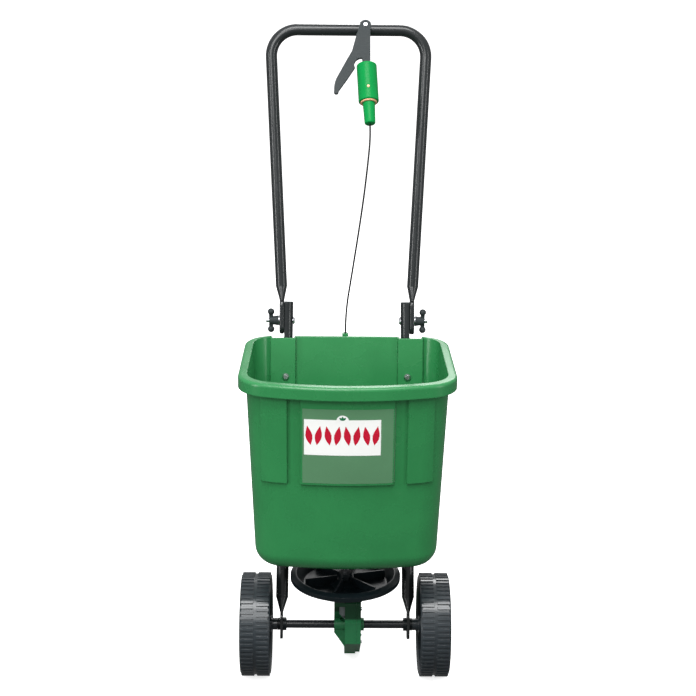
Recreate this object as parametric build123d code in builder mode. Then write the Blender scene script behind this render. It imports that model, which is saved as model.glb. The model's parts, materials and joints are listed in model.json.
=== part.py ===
"""Walk-behind broadcast spreader: hopper, tube frame, ground-driven impeller, hand lever.

Millimetres. +X is the walker's right-to-left width direction, -Y is the front of the hopper,
+Z is up, and the ground is z = 0. The handle leans back towards +Y.
"""
from build123d import *
from math import atan, cos, hypot, pi, radians, sin, tan
import os

# ---------------------------------------------------------------- driving dimensions
wheel_d = 200.0          # wheel over its tread
wheel_w = 58.0           # tread width
wheel_x = 172.5          # wheel centre plane from the middle
axle_d = 16.0
axle_half = 195.0
axle_y = -70.25          # the axle stands in front of the middle of the footprint
frame_tube_d = 24.0      # the two lower tubes
tube_d = 22.0            # handle tube
tube_wall = 1.5
lean = 15.0              # frame and handle lean back from upright, degrees
handle_top = 1213.0      # height of the top bar's centre line
rim_z = 645.0            # top of the hopper's rim
hopper_floor = 268.0     # underside of the hopper
wall = 3.0               # moulded wall of the hopper
impeller_d = 212.0
gear_teeth = 30          # bevel wheel on the axle
pinion_teeth = 10        # bevel pinion on the impeller shaft
module = 1.4
shaft_d = 8.0
gate_travel = 26.0
lever_tilt = 36.0        # lever and adjuster lean forward from straight down, degrees
run_gap = 0.05           # radial clearance of a shaft in its bore
hole_gap = 0.1           # radial clearance of a bolt in its hole
wing_bolt_r = 4.0
hopper_bolt_r = 3.0
rivet_r = 3.0

# ---------------------------------------------------------------- derived sizes
axle_z = wheel_d / 2
axle_r = axle_d / 2
tube_r = tube_d / 2
frame_r = frame_tube_d / 2
shaft_r = shaft_d / 2
lean_tan = tan(radians(lean))
lean_cos = cos(radians(lean))


def along_lean(height):
    """Distance up the leaning frame, from the axle, of a point at this height."""
    return (height - axle_z) / lean_cos


# local x is across, local y runs up the lean, local z faces forward and up
frame_plane = Plane(
    origin=(0, axle_y, axle_z),
    x_dir=(1, 0, 0),
    z_dir=(0, -lean_cos, sin(radians(lean))),
)
bar_s = along_lean(handle_top)
tube_top_s = along_lean(706.0)
wing_s = along_lean(673.0)
hopper_bolt_s = along_lean(568.0)
foot_x = 123.5           # lower tube's centre line at the axle
head_x = 115.8           # and at its top end
leg_x = 126.0            # upper handle's leg, just above its flattened end
bar_x = 151.0            # upper handle's leg, extended to the top bar
bend_r = 50.0


def tube_x(s):
    """Half spacing of the lower tubes at distance s up the lean."""
    return foot_x + (head_x - foot_x) * s / tube_top_s


def hopper_bolt_plane(side):
    """Plane square to the frame at one hopper bolt, its z along the bolt, facing forward."""
    centre = frame_plane.from_local_coords(Vector(side * tube_x(hopper_bolt_s), hopper_bolt_s, 0))
    return Plane(origin=centre, x_dir=(1, 0, 0), z_dir=frame_plane.z_dir)


def save(piece, label):
    """Label a finished piece and write it."""
    piece.part.label = label
    export_step(piece.part, f"parts/{label}.step")


def ring_about_x(x_low, x_high, radius, bore=0.0):
    """A round collar, or with no bore a disc, on the axle line."""
    with BuildPart() as ring:
        with BuildSketch(Plane.YZ.offset(x_low)):
            with Locations((axle_y, axle_z)):
                Circle(radius)
                if bore:
                    Circle(bore, mode=Mode.SUBTRACT)
        extrude(amount=x_high - x_low)
    return ring.part


os.makedirs("parts", exist_ok=True)

# ---------------------------------------------------------------- lower frame tubes
flat_start = 54.0        # the tube is round above here
flat_full = 22.0         # and pressed flat below here
flat_t = 5.0
flat_w = 34.0
tail = 28.0              # flattened end below the axle
eye_r = 10.2             # hole for the axle bush
eye_lap = 4.0            # the flat eye reaches this far into the transition
eye_corner = 12.0
seat_x = 121.2           # the tube's top is pressed flat outside here, as the handle's seat
seat_from = 562.0        # the seat is flat above here
seat_ramp = 16.0
seat_ramp_x = 8.0        # the ramp leads out this far
beyond = 20.0            # a cutting shape reaches this far past what it cuts
outside_x = 150.0        # clear of the tubes' outer sides


def seat_cut(side, inset):
    """The outer part of a lower tube that its flat seat takes away, inset by the wall."""
    inner_x = seat_x - inset
    with BuildPart() as cut:
        with BuildSketch(frame_plane):
            with BuildLine():
                Polyline(
                    (side * inner_x, tube_top_s + beyond), (side * inner_x, seat_from),
                    (side * (inner_x + seat_ramp_x), seat_from - seat_ramp),
                    (side * outside_x, seat_from - seat_ramp),
                    (side * outside_x, tube_top_s + beyond), close=True,
                )
            make_face()
        extrude(amount=beyond, both=True)
    return cut.part


for side, name in ((-1, "lower_tube_left"), (1, "lower_tube_right")):
    with BuildPart() as lower_tube:
        low = frame_plane.from_local_coords(Vector(side * tube_x(flat_start), flat_start, 0))
        high = frame_plane.from_local_coords(Vector(side * head_x, tube_top_s, 0))
        with BuildSketch(Plane(origin=low, z_dir=high - low)):
            Circle(frame_r)
        extrude(amount=(high - low).length)
        add(seat_cut(side, 0.0), mode=Mode.SUBTRACT)
        with BuildPart(mode=Mode.PRIVATE) as bore:
            with BuildSketch(Plane(origin=low, z_dir=high - low)):
                Circle(frame_r - tube_wall)
            extrude(amount=(high - low).length)
            add(seat_cut(side, tube_wall), mode=Mode.SUBTRACT)
        add(bore.part, mode=Mode.SUBTRACT)
        # pressed transition from round to flat
        round_end = Plane(origin=low, x_dir=(1, 0, 0), z_dir=high - low)
        flat_point = frame_plane.from_local_coords(Vector(side * foot_x, flat_full, 0))
        flat_end = Plane(origin=flat_point, x_dir=(1, 0, 0), z_dir=high - low)
        with BuildSketch(round_end):
            Circle(frame_r)
        with BuildSketch(flat_end):
            Ellipse(flat_t / 2, flat_w / 2)
        loft()
        # flat eye on the axle
        eye_top = flat_full + eye_lap
        with BuildSketch(Plane.YZ.offset(side * foot_x - flat_t / 2)):
            with Locations(Location((axle_y, axle_z), -lean)):
                with Locations((0, (eye_top - tail) / 2)):
                    RectangleRounded(flat_w, eye_top + tail, eye_corner)
            with Locations((axle_y, axle_z)):
                Circle(eye_r, mode=Mode.SUBTRACT)
        extrude(amount=flat_t)
        # cross holes for the wing bolt and the hopper bolt
        hole = frame_plane.from_local_coords(Vector(0, wing_s, 0))
        with BuildSketch(Plane.YZ.offset(side * (head_x - beyond))):
            with Locations((hole.Y, hole.Z)):
                Circle(wing_bolt_r + hole_gap)
        extrude(amount=side * 2 * beyond, mode=Mode.SUBTRACT)
        with BuildSketch(hopper_bolt_plane(side)):
            Circle(hopper_bolt_r + hole_gap)
        extrude(amount=beyond, both=True, mode=Mode.SUBTRACT)
    save(lower_tube, name)

# ---------------------------------------------------------------- tube end caps
cap_t = 2.5
cap_edge = 1.2
plug_deep = 10.0
plug_gap = 0.1
with BuildPart() as tube_caps:
    for side in (-1, 1):
        top = frame_plane.from_local_coords(Vector(side * head_x, tube_top_s, 0))
        low = frame_plane.from_local_coords(Vector(side * tube_x(0), 0, 0))
        with BuildSketch(Plane(origin=top, z_dir=top - low)):
            Circle(frame_r)
        extrude(amount=cap_t)
        add(seat_cut(side, 0.0), mode=Mode.SUBTRACT)
        with BuildPart(mode=Mode.PRIVATE) as plug:
            with BuildSketch(Plane(origin=top, z_dir=top - low)):
                Circle(frame_r - tube_wall - plug_gap)
            extrude(amount=-plug_deep)
            add(seat_cut(side, tube_wall + plug_gap), mode=Mode.SUBTRACT)
        add(plug.part)
    chamfer(tube_caps.faces().filter_by(GeomType.PLANE).group_by(Axis.Z)[-1].edges(), cap_edge)
save(tube_caps, "tube_end_caps")

# ---------------------------------------------------------------- upper handle
blade_in = seat_x + 0.2  # inner face of the handle's flattened end
blade_t = 9.0
blade_w = 30.0
blade_corner = 13.0
blade_edge = 3.2
blade_low = wing_s - 26.0
blade_high = 632.0
blade_lap = 3.0          # the blade reaches this far into the transition
leg_from = 640.0         # distance up the lean at which leg_x is measured
round_from = 660.0
with BuildPart() as upper_handle:
    leg_low_x = leg_x + (bar_x - leg_x) * (round_from - leg_from) / (bar_s - leg_from)
    with BuildLine(frame_plane) as handle_line:
        FilletPolyline(
            (-leg_low_x, round_from), (-bar_x, bar_s), (bar_x, bar_s), (leg_low_x, round_from),
            radius=bend_r,
        )
    with BuildSketch(Plane(origin=handle_line.line @ 0, z_dir=handle_line.line % 0)):
        Circle(tube_r)
        Circle(tube_r - tube_wall, mode=Mode.SUBTRACT)
    sweep()
    for side in (-1, 1):
        blade_mid = side * (blade_in + blade_t / 2)
        leg_end = 0 if side < 0 else 1
        start = handle_line.line @ leg_end
        leg_dir = (handle_line.line % leg_end) * -side
        end = frame_plane.from_local_coords(Vector(blade_mid, blade_high, 0))
        with BuildSketch(Plane(origin=start, x_dir=(1, 0, 0), z_dir=leg_dir)):
            Circle(tube_r)
        with BuildSketch(Plane(origin=end, x_dir=(1, 0, 0), z_dir=frame_plane.y_dir)):
            Ellipse(blade_t / 2, blade_w / 2)
        loft()
        eye = frame_plane.from_local_coords(Vector(0, wing_s, 0))
        with BuildPart(mode=Mode.PRIVATE) as blade:
            with BuildSketch(Plane.YZ.offset(blade_mid - blade_t / 2)):
                with Locations(Location((axle_y, axle_z), -lean)):
                    with Locations((0, (blade_low + blade_high + blade_lap) / 2)):
                        RectangleRounded(blade_w, blade_high + blade_lap - blade_low, blade_corner)
            extrude(amount=blade_t)
            fillet(blade.faces().filter_by(Axis.X).edges(), blade_edge)
            with BuildSketch(Plane.YZ.offset(blade_mid - blade_t / 2)):
                with Locations((eye.Y, eye.Z)):
                    Circle(wing_bolt_r + hole_gap)
            extrude(amount=blade_t, mode=Mode.SUBTRACT)
        add(blade.part)
    # rivet hole through the top bar
    lever_x = 31.7
    bar_centre = frame_plane.from_local_coords(Vector(0, bar_s, 0))
    lever_down = Vector(0, -sin(radians(lever_tilt)), -cos(radians(lever_tilt)))
    lever_out = Vector(0, -cos(radians(lever_tilt)), sin(radians(lever_tilt)))
    rivet_axis_plane = Plane(
        origin=bar_centre + Vector(lever_x, 0, 0), x_dir=(1, 0, 0), z_dir=lever_out
    )
    with BuildSketch(rivet_axis_plane):
        Circle(rivet_r + hole_gap)
    extrude(amount=beyond, both=True, mode=Mode.SUBTRACT)
save(upper_handle, "upper_handle")

# ---------------------------------------------------------------- wing bolts, washers, nuts
wing_at = frame_plane.from_local_coords(Vector(0, wing_s, 0))
washer_t = 1.6
washer_r = 9.5
wing_head_r = 8.0
wing_head_t = 3.2
nut_in = blade_in + blade_t + washer_t + 0.3
nut_hub = 18.0           # length of the nut's hub
nut_hub_r = 9.8
thread_end = 156.5
with BuildPart() as wing_bolts:
    for side in (-1, 1):
        head_at = side * (tube_x(wing_s) - frame_r - 0.2)
        with BuildSketch(Plane.YZ.offset(head_at)):
            with Locations((wing_at.Y, wing_at.Z)):
                Circle(wing_bolt_r)
        extrude(amount=side * (thread_end - abs(head_at)))
        with BuildSketch(Plane.YZ.offset(head_at)):
            with Locations((wing_at.Y, wing_at.Z)):
                Circle(wing_head_r)
        extrude(amount=-side * wing_head_t, taper=35)
save(wing_bolts, "wing_bolts")

with BuildPart() as wing_washers:
    for side in (-1, 1):
        with BuildSketch(Plane.YZ.offset(side * (blade_in + blade_t + 0.1))):
            with Locations((wing_at.Y, wing_at.Z)):
                Circle(washer_r)
                Circle(wing_bolt_r + hole_gap, mode=Mode.SUBTRACT)
        extrude(amount=side * washer_t)
save(wing_washers, "wing_washers")

lobe_r = 6.6
lobe_out = 17.5
lobe_back = 3.5          # lobes' centre, in from the hub's outer end
web_w = 8.0              # web that joins the two lobes to the hub
web_thick = 7.0
for side, name in ((-1, "wing_nut_left"), (1, "wing_nut_right")):
    with BuildPart() as wing_nut:
        with BuildSketch(Plane.YZ.offset(side * nut_in)):
            with Locations((wing_at.Y, wing_at.Z)):
                Circle(nut_hub_r)
        extrude(amount=side * nut_hub, taper=8)
        lobe_x = side * (nut_in + nut_hub - lobe_back)
        for up in (-1, 1):
            with Locations((lobe_x, wing_at.Y, wing_at.Z + up * lobe_out)):
                Sphere(lobe_r)
        with Locations((lobe_x, wing_at.Y, wing_at.Z)):
            Box(web_w, web_thick, 2 * lobe_out)
        with BuildSketch(Plane.YZ.offset(side * (nut_in - 1))):
            with Locations((wing_at.Y, wing_at.Z)):
                Circle(wing_bolt_r + run_gap)
        extrude(amount=side * (nut_hub + beyond), mode=Mode.SUBTRACT)
    save(wing_nut, name)

# ---------------------------------------------------------------- hopper
top_half = 185.0         # half width of the body's front under the rim
bottom_half = 170.0
plan_taper = 4.5         # each side draws in by this much from front to back
front_top = -158.0       # front of the body, from the axle, under the rim
front_bottom = -131.0
back_wall_gap = 5.0      # back wall's outside, in front of the tube line
front_bow_top = 34.0     # how far the front bulges
front_bow_bottom = 22.0
rim_half = 198.5
rim_front = -171.0
rim_back = 148.0
skirt_h = 24.0
rim_bow = 38.0
rim_round = 6.0          # radius of the rim's outer shoulder
corners_bottom = (52.0, 40.0)  # plan corner radii, front and back, at the floor
corners_top = (56.0, 46.0)     # at the top of the body
corners_rim = (66.0, 56.0)     # and round the rim
floor_round = 36.0       # round edge between the floor and the walls
channel_in = 102.0       # the tubes' channels in the back wall, inner and outer edge
channel_out = 144.0
channel_gap = 15.2       # channel floor in front of the tube line
channel_flare = 6.0      # each side of a channel opens out by this much at its mouth
channel_deep = 30.0      # the cut reaches this far behind the tube line
channel_low = 130.0      # up the lean, the cut starts here
channel_long = 470.0     # and is this long


def tube_line_y(height):
    """Distance of the tubes' centre line behind the axle, at a height."""
    return (height - axle_z) * lean_tan


def outline(half, front, back, bow, corners, grow):
    """Plan outline: straight back and sides, bowed front, round corners, grown all round."""
    half, front, back = half + grow, front - grow, back + grow
    corner_front, corner_back = (corner + grow for corner in corners)
    with BuildSketch(mode=Mode.PRIVATE) as plan:
        with BuildLine():
            Polyline(
                (-half, axle_y + front + bow), (plan_taper - half, axle_y + back),
                (half - plan_taper, axle_y + back), (half, axle_y + front + bow),
            )
            ThreePointArc(
                (half, axle_y + front + bow), (0, axle_y + front), (-half, axle_y + front + bow)
            )
        make_face()
        fillet(plan.vertices().sort_by(Axis.Y)[:2], corner_front)
        fillet(plan.vertices().sort_by(Axis.Y)[-2:], corner_back)
    return plan.sketch


def bucket(inset, low, grow=0.0):
    """The hopper's tapering body, inset all round by the wall or grown by a pad's height."""
    change = grow - inset
    with BuildPart() as body:
        with BuildSketch(Plane.XY.offset(low)):
            back = tube_line_y(low) - back_wall_gap
            add(outline(bottom_half, front_bottom, back, front_bow_bottom, corners_bottom, change))
        with BuildSketch(Plane.XY.offset(rim_z)):
            back = tube_line_y(rim_z) - back_wall_gap
            add(outline(top_half, front_top, back, front_bow_top, corners_top, change))
        loft()
        fillet(body.faces().sort_by(Axis.Z)[0].edges(), floor_round - inset)
    return body.part


def channel(grow):
    """The two upright channels that the tubes lie in, leaning with them."""
    with BuildPart() as grooves:
        for side in (-1, 1):
            mid = side * (channel_in + channel_out) / 2
            groove_half = (channel_out - channel_in) / 2 + grow
            section = Plane(
                origin=frame_plane.from_local_coords(Vector(mid, channel_low, 0)),
                x_dir=(1, 0, 0), z_dir=frame_plane.y_dir,
            )
            face_at = (channel_gap + grow) * lean_cos
            with BuildSketch(section):
                with BuildLine():
                    Polyline(
                        (-groove_half - channel_flare, channel_deep), (-groove_half, -face_at),
                        (groove_half, -face_at), (groove_half + channel_flare, channel_deep),
                        close=True,
                    )
                make_face()
            extrude(amount=channel_long)
    return grooves.part


def flange(inset):
    """A block the shape of the rim with its rounded shoulder, inset by the wall."""
    with BuildPart() as block:
        with BuildSketch(Plane.XY.offset(rim_z - skirt_h)):
            add(outline(rim_half, rim_front, rim_back, rim_bow, corners_rim, -inset))
        extrude(amount=skirt_h - inset)
        fillet(block.faces().sort_by(Axis.Z)[-1].edges(), rim_round - inset)
    return block.part


neck_half = 30.0
neck_z = 240.0
neck_corner = 8.0
pads = ((-132, 48), (0, 168), (132, 48))  # raised panels: middle x and width
pad_high = 4.0
pad_low_z = 452.0
pad_top_z = rim_z - 8.0
pad_reach = 90.0         # the panels' zone is this deep, front to back
with BuildPart() as hopper:
    add(bucket(0.0, hopper_floor))
    # three raised panels on the upper front, with two upright grooves between them
    with BuildPart(mode=Mode.PRIVATE) as pad_zone:
        for x_mid, width in pads:
            with Locations((x_mid, axle_y + front_top + 10, (pad_low_z + pad_top_z) / 2)):
                Box(width, pad_reach, pad_top_z - pad_low_z)
    add(bucket(0.0, hopper_floor, pad_high) & pad_zone.part)
    # outward flange with its turned-down skirt
    add(flange(0.0) - flange(wall))
    # outlet neck under the floor
    with BuildSketch(Plane.XY.offset(neck_z)):
        with Locations((0, axle_y)):
            RectangleRounded(2 * neck_half, 2 * neck_half, neck_corner)
    extrude(amount=hopper_floor + 2 - neck_z)
    add(channel(0.0), mode=Mode.SUBTRACT)
    add(bucket(wall, hopper_floor + wall) - channel(wall), mode=Mode.SUBTRACT)
    with BuildSketch(Plane.XY.offset(neck_z)):
        with Locations((0, axle_y)):
            RectangleRounded(2 * (neck_half - wall), 2 * (neck_half - wall), neck_corner - wall)
    extrude(amount=2 * beyond, mode=Mode.SUBTRACT)
    for side in (-1, 1):
        with BuildSketch(hopper_bolt_plane(side)):
            Circle(hopper_bolt_r + hole_gap)
        extrude(amount=3 * beyond, both=True, mode=Mode.SUBTRACT)
save(hopper, "hopper")

# ---------------------------------------------------------------- hopper bolts and nuts
bolt_head_r = 7.0        # and the washers' radius
bolt_head_t = 3.8
bolt_end = frame_r + 9.0  # behind the tube line
head_base = channel_gap + wall + 0.2
with BuildPart() as hopper_bolts:
    for side in (-1, 1):
        face = hopper_bolt_plane(side)
        with BuildSketch(face.offset(head_base)):
            Circle(bolt_head_r)
        extrude(amount=bolt_head_t, taper=38)
        with BuildSketch(face.offset(-bolt_end)):
            Circle(hopper_bolt_r)
        extrude(amount=bolt_end + head_base)
save(hopper_bolts, "hopper_bolts")

hex_r = 5.8              # nut over its corners
hex_t = 5.0
thin_washer_t = 1.4
with BuildPart() as hopper_nuts:
    for side in (-1, 1):
        face = hopper_bolt_plane(side)
        with BuildSketch(face.offset(-frame_r - 7)):
            RegularPolygon(hex_r, 6)
            Circle(hopper_bolt_r + run_gap, mode=Mode.SUBTRACT)
        extrude(amount=hex_t)
        with BuildSketch(face.offset(-frame_r - 1.8)):
            Circle(bolt_head_r)
            Circle(hopper_bolt_r + run_gap, mode=Mode.SUBTRACT)
        extrude(amount=thin_washer_t)
save(hopper_nuts, "hopper_nuts")

# ---------------------------------------------------------------- front label
label_t = 0.6
label_w = 137.0
label_h = 69.0
label_x = -9.0
label_z = 547.0
label_lift = pad_high + 0.05
with BuildPart() as front_label:
    with BuildPart(mode=Mode.PRIVATE) as label_zone:
        with BuildSketch(Plane.XZ.offset(-axle_y + 60)):
            with Locations((label_x, label_z)):
                RectangleRounded(label_w, label_h, 1.5)
        extrude(amount=120)
    outer = bucket(0.0, hopper_floor, label_lift + label_t)
    add((outer - bucket(0.0, hopper_floor, label_lift)) & label_zone.part)
save(front_label, "front_label")

# ---------------------------------------------------------------- axle and its bushes
wheel_pin_x = 186.0      # cross pin of each wheel
wheel_pin_r = 2.0
gear_pin_x = 15.0        # cross pin of the drive gear
gear_pin_r = 1.5
with BuildPart() as axle:
    with BuildSketch(Plane.YZ.offset(-axle_half)):
        with Locations((axle_y, axle_z)):
            Circle(axle_r)
    extrude(amount=2 * axle_half)
    chamfer(axle.edges().filter_by(GeomType.CIRCLE), 1.2)
    with Locations((-wheel_pin_x, axle_y, axle_z), (wheel_pin_x, axle_y, axle_z)):
        Cylinder(wheel_pin_r + 0.1, 2 * axle_d, mode=Mode.SUBTRACT)
    with Locations((gear_pin_x, axle_y, axle_z)):
        Cylinder(gear_pin_r + 0.1, 2 * axle_d, mode=Mode.SUBTRACT)
save(axle, "axle")

# from and to, out from the middle, and radius
bush_steps = ((114.0, 120.8, 12.7), (120.8, 127.0, 10.0), (127.0, 131.0, 12.0))
for side, name in ((-1, "axle_bush_left"), (1, "axle_bush_right")):
    with BuildPart() as bush:
        for near, far, radius in bush_steps:
            x_low, x_high = sorted((side * near, side * far))
            add(ring_about_x(x_low, x_high, radius, axle_r + run_gap))
    save(bush, name)

# ---------------------------------------------------------------- wheels
tyre_in_r = 88.0
tread_r = 97.5
hub_r = 17.0
hub_neck_r = 11.5        # spacer on the inner side of the hub
hub_neck = 12.0
web_t = 4.0
spokes = 8
lugs = 60                # tread bars in each of the two rows
lug_h = 3.4
lug_w = 5.0
lug_long = 24.0
row_x = 15.0             # middle of each row, from the wheel's centre plane
shoulder = 4.0           # rounded edge of the tyre
half_w = wheel_w / 2
hub_out = half_w - 8.0   # outer end of the hub
for side, name in ((-1, "wheel_left"), (1, "wheel_right")):
    bore = axle_r + run_gap
    with BuildPart() as wheel:
        # half section: radius, and distance outwards from the wheel's centre plane
        with BuildSketch(Plane.XZ):
            with BuildLine():
                Polyline(
                    (bore, -half_w - hub_neck), (hub_neck_r, -half_w - hub_neck),
                    (hub_neck_r, -half_w), (hub_r, -half_w), (hub_r, -web_t),
                    (tyre_in_r, -web_t), (tyre_in_r, -half_w + shoulder),
                    (tyre_in_r + 3, -half_w + 1), (tread_r - 3, -half_w),
                    (tread_r, -half_w + shoulder), (tread_r, half_w - shoulder),
                    (tread_r - 3, half_w), (tyre_in_r + 3, half_w - 1),
                    (tyre_in_r, half_w - shoulder), (tyre_in_r, web_t), (hub_r, web_t),
                    (hub_r, hub_out), (bore, hub_out), close=True,
                )
            make_face()
        revolve(axis=Axis.Z)
        # spokes stiffen the web on both faces
        with PolarLocations((hub_r + tyre_in_r) / 2, spokes, start_angle=180.0 / spokes):
            Box(tyre_in_r - hub_r + 3, 4, half_w)
        for row_mid, turn in ((-row_x, 0.0), (row_x, 180.0 / lugs)):
            with BuildSketch(Plane.XY.offset(row_mid - lug_long / 2)):
                with PolarLocations(wheel_d / 2 - lug_h / 2, lugs, start_angle=turn):
                    Rectangle(lug_h, lug_w)
            extrude(amount=lug_long)
        # drive pin hole, across the hub
        if side > 0:
            with Locations((0, 0, wheel_pin_x - wheel_x)):
                Cylinder(
                    wheel_pin_r + 0.1, 2 * hub_r + 2, rotation=(0, 90, 0), mode=Mode.SUBTRACT
                )
    spin_plane = Plane(
        origin=(side * wheel_x, axle_y, axle_z), x_dir=(0, 0, 1), z_dir=(side, 0, 0)
    )
    with BuildPart() as placed_wheel:
        add(spin_plane.location * wheel.part)
    save(placed_wheel, name)

# The right wheel drives the axle through a cross pin; the left wheel turns on the axle
# between two clips.
with BuildPart() as wheel_pin:
    with Locations((wheel_pin_x, axle_y, axle_z)):
        Cylinder(wheel_pin_r, 2 * hub_r + 6)
        with Locations((0, 0, hub_r + 3)):
            Cylinder(3.6, 2.0, align=(Align.CENTER, Align.CENTER, Align.MIN))
save(wheel_pin, "wheel_drive_pin")

clip_t = 1.5
clip_x = wheel_x + hub_out + 0.4
with BuildPart() as wheel_clip:
    add(ring_about_x(-(clip_x + clip_t), -clip_x, axle_r + 4, axle_r))
save(wheel_clip, "wheel_clip_left")

cap_r = 24.0
cap_high = 8.0
cap_room_r = 13.0        # hollow over the axle's end
cap_room = 4.5
for side, name in ((-1, "hub_cap_left"), (1, "hub_cap_right")):
    base = wheel_x + hub_out + 0.5
    with BuildPart() as hub_cap:
        with BuildSketch(Plane.YZ.offset(side * base)):
            with Locations((axle_y, axle_z)):
                Circle(cap_r)
        extrude(amount=side * cap_high, taper=12)
        with BuildSketch(Plane.YZ.offset(side * base)):
            with Locations((axle_y, axle_z)):
                Circle(cap_room_r)
        extrude(amount=side * cap_room, mode=Mode.SUBTRACT)
    save(hub_cap, name)

# ---------------------------------------------------------------- bevel gears
gear_pitch_r = module * gear_teeth / 2
pinion_pitch_r = module * pinion_teeth / 2
cone_distance = hypot(gear_pitch_r, pinion_pitch_r)
face_w = 6.0
tooth_share = 0.36       # of the pitch: slim teeth leave generous backlash
addendum = 0.75 * module
dedendum = 1.15 * module


def bevel_gear(teeth, mate_teeth, hub_radius, hub_length, bore, first_angle):
    """Straight bevel gear about +Z, its pitch cone's apex at the origin, teeth towards it."""
    pitch_angle = atan(teeth / mate_teeth)
    along = Vector(sin(pitch_angle), 0, cos(pitch_angle))
    outward = Vector(cos(pitch_angle), 0, -sin(pitch_angle))
    inner_scale = (cone_distance - face_w) / cone_distance
    half_tooth = tooth_share * pi * module / 2
    flare = tan(radians(20))
    with BuildPart() as gear:
        big_root = along * cone_distance - outward * dedendum
        small_root = along * (cone_distance - face_w) - outward * (dedendum * inner_scale)
        back = big_root.Z + hub_length
        with BuildSketch(Plane.XZ):
            with BuildLine():
                Polyline(
                    (bore, small_root.Z), (small_root.X, small_root.Z), (big_root.X, big_root.Z),
                    (big_root.X, big_root.Z + 1.5), (hub_radius, big_root.Z + 1.5),
                    (hub_radius, back), (bore, back), close=True,
                )
            make_face()
        revolve(axis=Axis.Z)
        with BuildPart(mode=Mode.PRIVATE) as tooth:
            for scale in (1.0, inner_scale):
                at = along * (cone_distance * scale)
                with BuildSketch(Plane(origin=at, x_dir=(0, -1, 0), z_dir=along)):
                    top_half = (half_tooth - addendum * flare) * scale
                    root_half = (half_tooth + (dedendum + 0.3) * flare) * scale
                    with BuildLine():
                        Polyline(
                            (-root_half, -(dedendum + 0.3) * scale), (-top_half, addendum * scale),
                            (top_half, addendum * scale), (root_half, -(dedendum + 0.3) * scale),
                            close=True,
                        )
                    make_face()
            loft(ruled=True)
        with PolarLocations(0, teeth, start_angle=first_angle):
            add(tooth.part)
    return gear.part


axle_point = Vector(0, axle_y, axle_z)
pinion_bore = 3.0
drive_shape = bevel_gear(gear_teeth, pinion_teeth, 13.0, 12.0, axle_r, 180.0 / gear_teeth)
with BuildPart() as drive_gear:
    add(Plane(origin=axle_point, x_dir=(0, 0, 1), z_dir=(1, 0, 0)).location * drive_shape)
    with Locations((gear_pin_x, axle_y, axle_z)):
        Cylinder(gear_pin_r + 0.1, 30, mode=Mode.SUBTRACT)
save(drive_gear, "drive_gear")

with BuildPart() as gear_pin:
    with Locations((gear_pin_x, axle_y, axle_z)):
        Cylinder(gear_pin_r, 25.5)
save(gear_pin, "gear_drive_pin")

pinion_hub_r = 10.8
pinion_hub = 23.0
pinion_shape = bevel_gear(pinion_teeth, gear_teeth, pinion_hub_r, pinion_hub, pinion_bore, 0.0)
with BuildPart() as pinion_gear:
    add(Plane(origin=axle_point).location * pinion_shape)
save(pinion_gear, "pinion_gear")

# ---------------------------------------------------------------- gear housing and stand leg
split_x = 22.0           # housing to the left of this plane, cover to the right
cover_x = 31.0
collar_x = 37.0
collar_r = 12.5
left_boss_x = -21.0
front_y = -25.5
upper_y = -20.0          # the case steps back above the drive gear
plate_z = 147.0
plate_t = 8.0
gear_room = 23.4
journal_z = 122.5 + pinion_hub + 0.8


def housing_outline(sole):
    """Side view, y from the axle against z: gear case above, stand leg running back."""
    with BuildSketch(mode=Mode.PRIVATE) as side_view:
        with BuildLine():
            Polyline(
                (axle_y + upper_y, plate_z + plate_t), (axle_y + upper_y, 119),
                (axle_y + front_y, 115), (axle_y + front_y, 70),
                (axle_y + 64, sole + 4), (axle_y + 66, sole), (axle_y + 122, sole),
                (axle_y + 124, sole + 7), (axle_y + 72, 28), (axle_y + 27, 60),
                (axle_y + 27, plate_z + plate_t), close=True,
            )
        make_face()
        fillet(side_view.vertices().group_by(Axis.Y)[-1], 5)
    return side_view.sketch


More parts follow.
